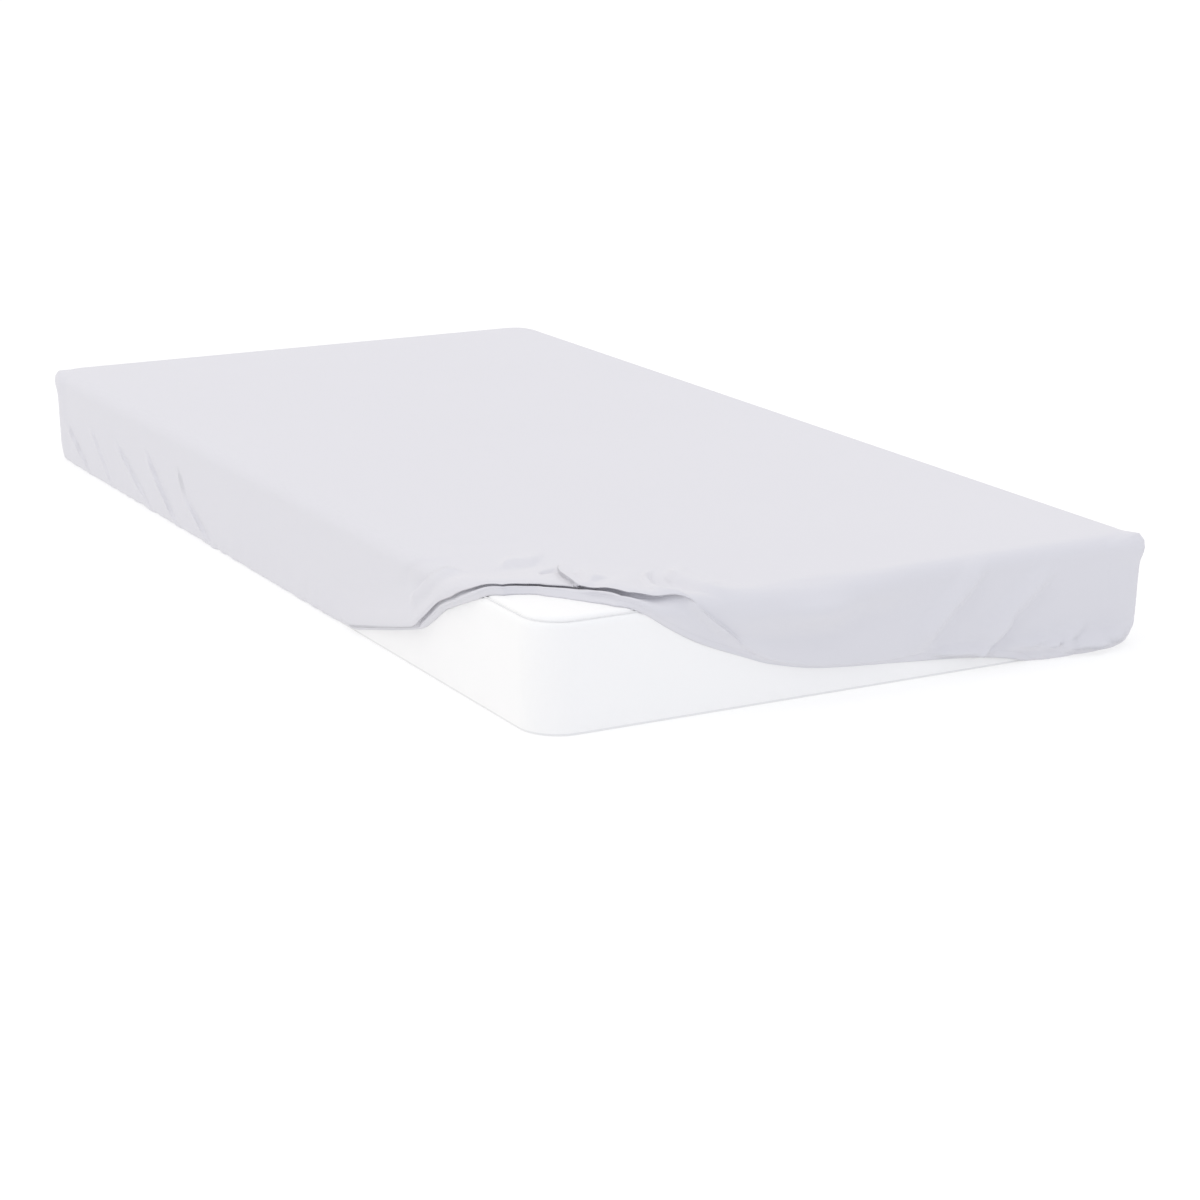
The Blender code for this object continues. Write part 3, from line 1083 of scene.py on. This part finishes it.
@dataclass(frozen=True)
class Gathers:
    """The uneven gathers that the elastic draws along the foot of the covered sides.

    They slant by so much for each metre down, wander and grow and shrink over so many
    pitches, and stay off the foot within a reach of the bare corner.
    """

    depth: float = 0.0008
    pitch: float = 0.052
    start: float = 0.105
    slant: float = 0.25
    wander: float = 1.7
    wander_pitches: float = 4.3
    size: float = 0.6
    size_range: float = 0.4
    size_pitches: float = 7.7
    bare_middle: float = 0.05
    bare_reach: float = 0.70
    bare_fade: float = 0.15

    def lift(self, station: Array, drop: Array, foot: float) -> Array:
        """How far the gathers lift the cloth.

        Args:
            station: Stations.
            drop: Drops, of the same shape.
            foot: The drop at which they are whole.

        Returns:
            Lifts, of the same shape.
        """
        slanted = (station + self.slant * drop) * 2 * math.pi
        wander = self.wander * np.sin(slanted / (self.wander_pitches * self.pitch))
        wave = np.sin(slanted / self.pitch + wander)
        size = self.size + self.size_range * np.sin(slanted / (self.size_pitches * self.pitch))
        away = np.abs(station - self.bare_middle) - self.bare_reach
        low = ease((drop - self.start) / (foot - self.start))
        return self.depth * wave * size * ease(away / self.bare_fade) * low


@dataclass
class FittedSheet:
    """The fitted sheet: pulled over three corners and rolled back behind the fourth.

    Folds and swells are whole over the flat middle of their run and fade towards its
    ends, and the foot holds the folds down. A fold's dip is the hollow in front of it, as
    a share of its height. Ears are the sewn corners: the near right, far right and far
    left ones stand out by their shares.
    """

    mattress: Mattress
    cloth: float = 0.0012
    offset: float = 0.004
    seat_gap: float = 0.0003
    solid: float = 0.002
    bend_radius: float = 0.007
    bend_place: float = 0.6
    tuck: float = 0.070
    middle_inset: float = 0.450
    roll_margin: float = 0.045
    hem_margin: float = 0.040
    full_roll: float = 0.012
    full_casing: float = 0.006
    fold_dip: float = 0.25
    fold_flat: float = 0.26
    fold_fade: float = 0.26
    swell_flat: float = 0.20
    swell_fade: float = 0.34
    foot_hold: float = 0.8
    foot_reach: float = 0.018
    foot_fade: float = 0.023
    ear_shares: tuple[float, float, float] = (1.0, 0.4, 0.75)
    ear_length: float = 0.055
    ear_round: float = 0.006
    press: float = 0.0035
    gathers: Gathers = Gathers()
    slant_rounds: int = 8
    side_rings: int = 22
    roll_rings: int = 13
    flat_size: tuple[float, float] = (1.52, 2.52)
    flat_area: float = 3.56

    def __post_init__(self) -> None:
        """Work out the section's knots and fit the curves to the tables."""
        self.edge_radius = self.mattress.top_edge_radius + self.offset
        self.edge_arc = QUARTER * self.edge_radius
        self.side_end = self.edge_arc + self.mattress.side_top - self.bend_radius
        self.bend_end = self.side_end + QUARTER * self.bend_radius
        self.full_drop = self.bend_end + self.tuck
        self.centre_drop = self.mattress.top_edge_radius - self.middle_inset
        _, self.near_right, self.far_right, self.far_left = self.mattress.outline.corners
        self.hem = Curve(self.hem_table(), "drop")
        self.slant = Curve(self.slant_table(), "slant")
        self.ear = Curve(self.ear_table(), "reach")
        self.rise = Curve(RISE, "rise")
        self.roll = {name: Curve(ROLLS, name) for name in RollRow._fields[1:]}
        self.curl = {name: Curve(ROLL_SECTION, name) for name in RollPoint._fields[1:]}
        near_right, far_right, far_left = self.ear_shares
        self.ears = {
            self.near_right: near_right,
            self.far_right: far_right,
            -self.far_right: far_right,
            self.far_left: far_left,
        }
        hidden = fan_out(self.near_right, 1) + fan_out(self.far_right, -1)
        hidden += fan_out(-self.far_right, 1) + fan_out(self.far_left, -1)
        self.tucks = (*SIDE_TUCKS, *END_TUCKS, *LIP_TUCKS, *hidden)

    def hem_table(self) -> tuple[HemRow, ...]:
        """Lay the hem, from under the long side to under the short end.

        Returns:
            Its rows.
        """
        return (
            HemRow(-0.900, self.full_drop),
            HemRow(-0.780, self.bend_end + 0.035),
            HemRow(-0.700, self.bend_end + 0.008),
            HemRow(-0.640, self.bend_end - 0.002),
            *HEM,
            HemRow(0.860, self.bend_end + 0.035),
            HemRow(0.940, self.full_drop),
        )

    def slant_table(self) -> tuple[SlantRow, ...]:
        """Lean the columns along the folds, from corner to corner.

        Returns:
            The rows of their slant.
        """
        return (
            SlantRow(self.far_left - 0.200, 0.0),
            SlantRow(self.far_left, 1.6),
            *SLANTS,
            SlantRow(self.near_right - 0.100, -1.1),
            SlantRow(self.near_right + 0.150, 0.0),
        )

    def ear_table(self) -> tuple[EarPoint, ...]:
        """Shape the sewn corners, from the top to the foot.

        Returns:
            Rows of how far they stand out past the mattress's round corners.
        """
        return (
            EarPoint(-0.015, 0.000),
            EarPoint(self.edge_arc / 3, 0.003),
            EarPoint(self.edge_arc / 2, 0.009),
            EarPoint(self.edge_arc * 2 / 3, 0.0205),
            EarPoint(self.edge_arc * 3 / 4, 0.0275),
            EarPoint(self.edge_arc, 0.0280),
            EarPoint(self.edge_arc + 0.025, 0.0215),
            EarPoint(self.side_end - 0.045, 0.0180),
            EarPoint(self.side_end - 0.022, 0.0162),
            EarPoint(self.side_end - 0.008, 0.0115),
            EarPoint(self.side_end, 0.0070),
            EarPoint(self.bend_end, 0.000),
        )

    def columns(self) -> Array:
        """Space the sheet's columns, closest where it is folded.

        Returns:
            Their stations, one a row.
        """
        reach = self.mattress.outline.corner_arc / 2
        stretches = (
            Stretch(-self.far_right + reach, 0.0060),
            Stretch(self.far_left - 0.200, 0.0205),
            Stretch(self.far_left - reach, 0.0060),
            Stretch(self.far_left + reach, 0.0042),
            Stretch(-1.130, 0.0046),
            Stretch(-0.720, 0.0100),
            Stretch(-0.460, 0.0065),
            Stretch(0.340, 0.0030),
            Stretch(0.560, 0.0055),
            Stretch(self.near_right - reach, 0.0042),
            Stretch(self.near_right + reach, 0.0036),
            Stretch(self.near_right + 0.150, 0.0048),
            Stretch(self.far_right - reach, 0.0205),
            Stretch(self.far_right, 0.0060),
        )
        return columns_of(-self.far_right, stretches)[:, None]

    def top_shares(self) -> Array:
        """Space the top's rings, closest towards its edge.

        Returns:
            Where they lie, as shares of the way from the top's middle to its edge.
        """
        steps = [row.step for row in TOP_RINGS for _ in range(row.count)]
        walked = np.concatenate(([0.0], np.cumsum(steps)))
        return walked[:-1] / walked[-1]

    def roll_places(self) -> Array:
        """Where the roll's rings lie, from its lip (0) to the hem (1)."""
        return np.linspace(0.0, 1.0, self.roll_rings + 1)

    def section(self, station: Array) -> tuple[Array, Array]:
        """The cloth's section at stations, before its folds.

        Args:
            station: A column of stations.

        Returns:
            Drops and lifts, a row for each station and a column for each ring.
        """
        foot = self.foot_station(station)
        hem = self.hem(foot)
        roll = {name: curve(foot) for name, curve in self.roll.items()}
        lip = hem - roll["band"]
        edge = np.minimum(self.edge_arc, lip - self.roll_margin)
        tops = self.centre_drop + (edge - self.centre_drop) * self.top_shares()
        back = np.linspace(-1.0, 0.0, self.side_rings + 1)[:-1]
        place = self.roll_places()
        curl = {name: curve(place) for name, curve in self.curl.items()}
        side_end = np.minimum(self.side_end, hem - self.hem_margin)
        bend_end = np.minimum(self.bend_end, hem - self.hem_margin / 2)
        tight_side = side_end + back * (side_end - self.edge_arc)
        tight_tail = np.where(
            place < self.bend_place,
            side_end + (bend_end - side_end) * place / self.bend_place,
            bend_end + (hem - bend_end) * (place - self.bend_place) / (1 - self.bend_place),
        )
        rolled_side = lip + back * (lip - edge)
        drawn_in = curl["under"] * roll["overhang"] + curl["notch"] * roll["notch"]
        rolled_tail = lip + place * roll["band"] - drawn_in
        blend = roll["blend"]
        sides = tight_side + (rolled_side - tight_side) * blend
        tails = tight_tail + (rolled_tail - tight_tail) * blend
        behind = np.concatenate((tops, sides), axis=1)
        rise = self.rise((lip - behind) / roll["swell"])
        tail_rise = np.broadcast_to(curl["rise"], tails.shape)
        lift = roll["crest"] * np.concatenate((rise, tail_rise), axis=1)
        lift[:, -len(place) :] += roll["casing"] * curl["casing"]
        lift[:, -len(place) :] += (roll["gap"] - self.press) * curl["foot"]
        return np.concatenate((behind, tails), axis=1), lift * blend

    def drifted(self, station: Array, drop: Array) -> Array:
        """Where the columns that start at stations lie at drops, slanted as the folds are."""
        length = self.side_end - self.edge_arc
        return station + self.slant(station) * np.clip(drop - self.edge_arc, 0.0, length)

    def foot_station(self, station: Array) -> Array:
        """Follow the columns down to the hem.

        Args:
            station: The stations that the columns start at.

        Returns:
            Where they meet the hem.
        """
        foot = station
        for _ in range(self.slant_rounds):
            foot = self.drifted(station, self.hem(foot))
        return foot

    def formed(self, column: str, base: Array, full: float) -> Array:
        """How far one of the roll's sizes is formed at the hem: 1 from a full size on."""
        return np.minimum(1.0, self.roll[column](self.foot_station(base)) / full)

    def tucked(self, station: Array, drop: Array) -> tuple[Array, Array, Array]:
        """Add up what all the tucks do.

        Args:
            station: Stations.
            drop: Drops, of the stations' shape.

        Returns:
            How far they shift the cloth along the stations and down the section, and how far
            they lift it.
        """
        along, down, lift = (np.zeros_like(drop) for _ in range(3))
        low = ease((drop - self.side_end + self.foot_reach) / self.foot_fade)
        for tuck in self.tucks:
            walk, across, run = self.beside(tuck, station, drop)
            across = across - tuck.bow * (1 - (2 * np.clip(walk, 0, 1) - 1) ** 2)
            climb = ease((across + tuck.ridge) / (tuck.ridge - tuck.crest))
            fall = ease((across + tuck.crest) / tuck.crest) * (1 + self.fold_dip)
            rise = climb - fall + ease(across / tuck.hollow) * self.fold_dip
            rise = rise * along_run(walk, self.fold_flat, self.fold_fade)
            rise = rise * (1 - self.foot_hold * min(1.0, 2 * abs(run[1])) * low)
            lift += tuck.height * rise
            leant = tuck.lean * np.maximum(0.0, rise)
            along += leant * run[1]
            down -= leant * run[0]
        return along, down, lift

    def held(self, base: Array) -> Array:
        """How much of a fold each ring takes: the hem under the lip keeps still.

        Args:
            base: A column of the stations that the columns start at.

        Returns:
            Shares from 0 to 1, a row for each station and a column for each ring.
        """
        rise = self.curl["rise"](self.roll_places())
        tail = 1 - self.formed("overhang", base, self.full_roll) * (1 - rise / rise[0])
        behind = np.ones((len(base), len(self.top_shares()) + self.side_rings))
        return np.concatenate((behind, tail), axis=1)

    def swollen(self, station: Array, drop: Array) -> Array:
        """Add up the soft ridges and hollows.

        Args:
            station: Stations.
            drop: Drops, of the stations' shape.

        Returns:
            How far they lift the cloth.
        """
        lift = np.zeros_like(drop)
        for swell in SWELLS:
            walk, across, _ = self.beside(swell, station, drop)
            ends = along_run(walk, self.swell_flat, self.swell_fade)
            lift += swell.height * ends * bump(across, swell.width)
        return lift

    @staticmethod
    def beside(fold: Tuck | Swell, station: Array, drop: Array) -> tuple[Array, Array, Array]:
        """Find where points lie beside a fold.

        Args:
            fold: The fold.
            station: Stations.
            drop: Drops, of the stations' shape.

        Returns:
            The share of the fold's run that is passed, the distance across it, and the run's
            direction.
        """
        run = np.array((fold.to_station - fold.station, fold.to_drop - fold.drop))
        length = float(np.hypot(*run))
        run /= length
        from_station, from_drop = station - fold.station, drop - fold.drop
        walk = (from_station * run[0] + from_drop * run[1]) / length
        return walk, from_station * run[1] - from_drop * run[0], run

    def ear_lift(self, station: Array, drop: Array) -> Array:
        """Add up the sewn corners.

        Args:
            station: Stations.
            drop: Drops, of the stations' shape.

        Returns:
            How far they stand out.
        """
        lift = np.zeros_like(drop)
        for corner, share in self.ears.items():
            away = np.hypot(station - corner, self.ear_round) - self.ear_round
            near = np.maximum(0.0, 1 - away / self.ear_length) ** 2
            lift += share * near * self.ear(drop)
        return lift

    def seat(self, drop: Array) -> Array:
        """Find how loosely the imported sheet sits.

        Args:
            drop: Drops.

        Returns:
            How far its inner face lies off the mattress.
        """
        radius = self.mattress.top_edge_radius
        crown_share = self.mattress.crown_share
        share = np.minimum(1.0, crown_share(radius - drop) / crown_share(radius))
        return self.seat_gap + (self.offset - self.solid - self.seat_gap) * share

    def draped(self, drop: Array, lift: Array) -> list[Array]:
        """Lay the cloth over the mattress.

        Args:
            drop: Drops.
            lift: How far the cloth is lifted off the mattress there.

        Returns:
            Insets and heights of its outer face.
        """
        radius, side_top = self.mattress.top_edge_radius, self.mattress.side_top
        inset = radius - drop
        top = inset, self.mattress.top_height(inset) + self.seat(drop) + self.solid + lift
        turn, reach = drop / self.edge_radius, self.edge_radius + lift
        edge = radius - reach * np.sin(turn), side_top + reach * np.cos(turn)
        side = -self.offset - lift, side_top - (drop - self.edge_arc)
        turn, reach = (drop - self.side_end) / self.bend_radius, self.bend_radius + lift
        centre = self.bend_radius - self.offset
        foot = np.maximum(0.0, self.bend_radius - reach * np.sin(turn))
        bend = centre - reach * np.cos(turn), foot
        under = centre + drop - self.bend_end, np.zeros_like(drop)
        zones = [drop < end for end in (0.0, self.edge_arc, self.side_end, self.bend_end)]
        pairs = zip(top, edge, side, bend, under)
        return [np.select(zones, parts[:-1], parts[-1]) for parts in pairs]

    def surface(self) -> tuple[Array, dict[str, Array]]:
        """Shape the cloth's outer face.

        Returns:
            Its positions and its UV maps. The map named Cloth lays the cloth flat, and the one
            named Hem gives the distance along the outline and that from the hem.
        """
        base = self.columns()
        drop, lift = self.section(base)
        station = self.drifted(base, drop)
        along, down, folded = self.tucked(station, drop)
        folded += self.swollen(station, drop)
        held = self.held(base)
        along, down = along * held, down * held
        gathered = self.gathers.lift(station, drop, self.bend_end)
        lift += folded * held + gathered + self.ear_lift(station, drop)
        room = self.seat(drop) + self.solid - self.cloth - self.mattress.bulge
        room[:, -1:] += self.formed("casing", base, self.full_casing) * self.cloth
        lift = np.maximum(lift, -room)
        inset, height = self.draped(drop + down, lift)
        outline = self.mattress.outline
        points = outline.points(station + along, inset, height)
        flat = outline.place(station, self.mattress.top_edge_radius - drop)
        steps = np.hypot(np.diff(drop, axis=1), np.diff(lift, axis=1))
        from_hem = np.zeros_like(drop)
        from_hem[:, :-1] = np.cumsum(steps[:, ::-1], axis=1)[:, ::-1]
        return points, {"Cloth": flat, "Hem": np.stack((station, from_hem), axis=-1)}

    def build(self) -> bpy.types.Object:
        """Build the sheet with its thickness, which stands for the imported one.

        Returns:
            The piece.
        """
        points, maps = self.surface()
        bm = skin(points, maps)
        fill_rim(bm, float(points[0, 0, 2]))
        middle = max(bm.faces, key=lambda face: len(face.verts))
        if middle.normal.z < 0:
            bmesh.ops.reverse_faces(bm, faces=bm.faces)
        made = finished("sheet_cloth", bm, CottonFinish().material())
        thickness = made.modifiers.new("Cloth thickness", "SOLIDIFY")
        thickness.thickness = self.cloth
        thickness.offset = -1
        thickness.use_rim = True
        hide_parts(Piece.SHEET.value)
        return made


# --- The studio ---


@dataclass(frozen=True)
class Studio:
    """The pale floor, the soft light and the camera."""

    floor_half: float = 40.0
    floor_colour: float = 0.42
    floor_glow: float = 0.60
    front_sky: Colour = (0.838, 0.866, 0.944)
    back_sky: Colour = (1.165, 1.137, 1.087)
    sun_strength: float = 0.33
    sun_spread: float = 50.0
    sun_from: tuple[float, float, float] = (-0.030, 0.0, 0.100)
    camera_place: tuple[float, float, float] = (-2.2199, -4.3562, 1.2301)
    camera_tilt: float = 74.67
    camera_turn: float = -28.371
    lens: float = 88.92
    sensor: float = 36.0

    def floor(self) -> None:
        """A plain floor that reaches past every view."""
        bm = bmesh.new()
        bmesh.ops.create_grid(bm, x_segments=1, y_segments=1, size=self.floor_half)
        made = shown("floor", bm)
        graph = Graph(bpy.data.materials.new("studio_floor"))
        inputs = {
            "Base Color": (*(self.floor_colour,) * 3, 1.0),
            "Emission Color": (1.0, 1.0, 1.0, 1.0),
            "Emission Strength": self.floor_glow,
            "Roughness": 1.0,
            "Specular IOR Level": 0.0,
        }
        made.data.materials.append(graph.dressed(inputs))

    def light(self) -> None:
        """A sky that is a little dimmer and cooler in front, and a broad soft sun."""
        graph = Graph(bpy.data.worlds.new("studio_sky"), "Background")
        _, along = graph.split(graph.place("Generated"))
        share = graph.signal(graph.add("ShaderNodeMapRange", {"From Min": -1.0, "Value": along}))
        colour = graph.mix(share, self.front_sky, self.back_sky)
        bpy.context.scene.world = graph.dressed({"Color": colour})
        sun = bpy.data.lights.new("soft_key", "SUN")
        sun.energy = self.sun_strength
        sun.angle = math.radians(self.sun_spread)
        lamp = bpy.data.objects.new("soft_key", sun)
        lamp.rotation_euler = Vector(self.sun_from).to_track_quat("Z", "Y").to_euler()
        bpy.context.scene.collection.objects.link(lamp)

    def camera(self) -> None:
        """The camera at the photograph's place, with its angle of view."""
        data = bpy.data.cameras.new("camera")
        data.lens = self.lens
        data.sensor_width = self.sensor
        data.clip_end = 4 * self.floor_half
        made = bpy.data.objects.new("camera", data)
        made.location = self.camera_place
        made.rotation_euler = (math.radians(self.camera_tilt), 0.0, math.radians(self.camera_turn))
        bpy.context.scene.collection.objects.link(made)
        bpy.context.scene.camera = made

    def build(self) -> None:
        """Everything around the object."""
        bpy.context.scene.view_settings.view_transform = "Standard"
        self.floor()
        self.light()
        self.camera()


def main() -> None:
    """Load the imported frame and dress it."""
    logging.basicConfig(level=logging.INFO, format="%(message)s")
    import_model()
    low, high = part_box(Piece.MATTRESS.value)
    outline = Outline(width=high.x - low.x, length=high.y - low.y)
    mattress = Mattress(outline, base=low.z, top=high.z)
    for made in (*mattress.build(), FittedSheet(mattress).build()):
        LOG.info("%s: %d faces", made.name, len(made.data.polygons))
    Studio().build()


if __name__ == "__main__":
    main()
